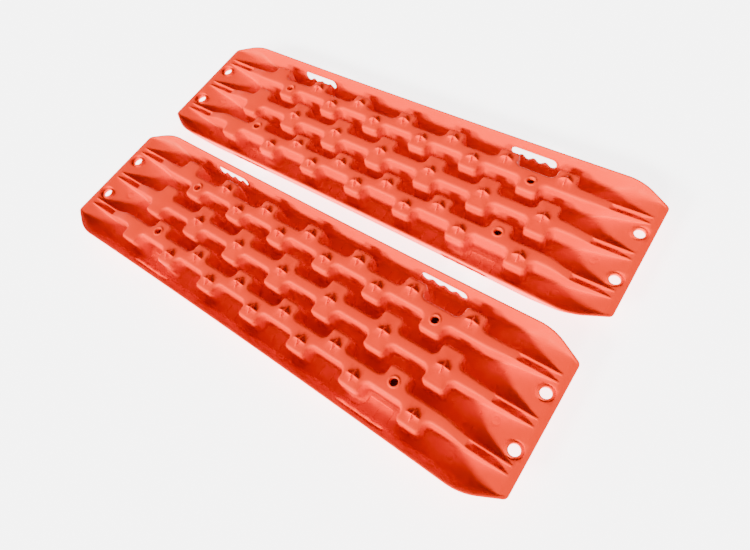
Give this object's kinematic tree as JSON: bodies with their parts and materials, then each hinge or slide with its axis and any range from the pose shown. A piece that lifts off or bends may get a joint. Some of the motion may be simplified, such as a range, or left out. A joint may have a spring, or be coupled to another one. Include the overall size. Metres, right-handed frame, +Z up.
{
  "type": "tire traction mats",
  "caption": "Pair of rigid orange vehicle recovery boards: ramped thin-walled trays with hollow bumpy ridges, star cleats, tie-down holes and scalloped handle slots.",
  "frame": {"origin": "on the ground, midway between the two boards", "axes": "+X along the boards, +Y from the front board to the rear board, +Z up"},
  "size_m": [1.0704, 0.6192, 0.06],
  "materials": {
    "board_nylon": "satin moulded orange nylon",
    "collar_nylon": "satin moulded orange nylon",
    "grip_nylon": "satin moulded orange nylon"
  },
  "bodies": {
    "front_mat": {"front_board": "board_nylon", "front_eyelet_left_near": "collar_nylon", "front_ridge_bush_left_near": "collar_nylon", "front_grip_left_near": "grip_nylon", "front_eyelet_left_far": "collar_nylon", "front_ridge_bush_left_far": "collar_nylon", "front_grip_left_far": "grip_nylon", "front_eyelet_right_near": "collar_nylon", "front_ridge_bush_right_near": "collar_nylon", "front_grip_right_near": "grip_nylon", "front_eyelet_right_far": "collar_nylon", "front_ridge_bush_right_far": "collar_nylon", "front_grip_right_far": "grip_nylon"},
    "rear_mat": {"rear_board": "board_nylon", "rear_eyelet_left_near": "collar_nylon", "rear_ridge_bush_left_near": "collar_nylon", "rear_grip_left_near": "grip_nylon", "rear_eyelet_left_far": "collar_nylon", "rear_ridge_bush_left_far": "collar_nylon", "rear_grip_left_far": "grip_nylon", "rear_eyelet_right_near": "collar_nylon", "rear_ridge_bush_right_near": "collar_nylon", "rear_grip_right_near": "grip_nylon", "rear_eyelet_right_far": "collar_nylon", "rear_ridge_bush_right_far": "collar_nylon", "rear_grip_right_far": "grip_nylon"}
  },
  "joints": [
    {"name": "lift_rear_mat", "type": "slide", "parent": "front_mat", "child": "rear_mat", "axis": [0, 0, 1], "range_m": [0, 0.3]}
  ]
}
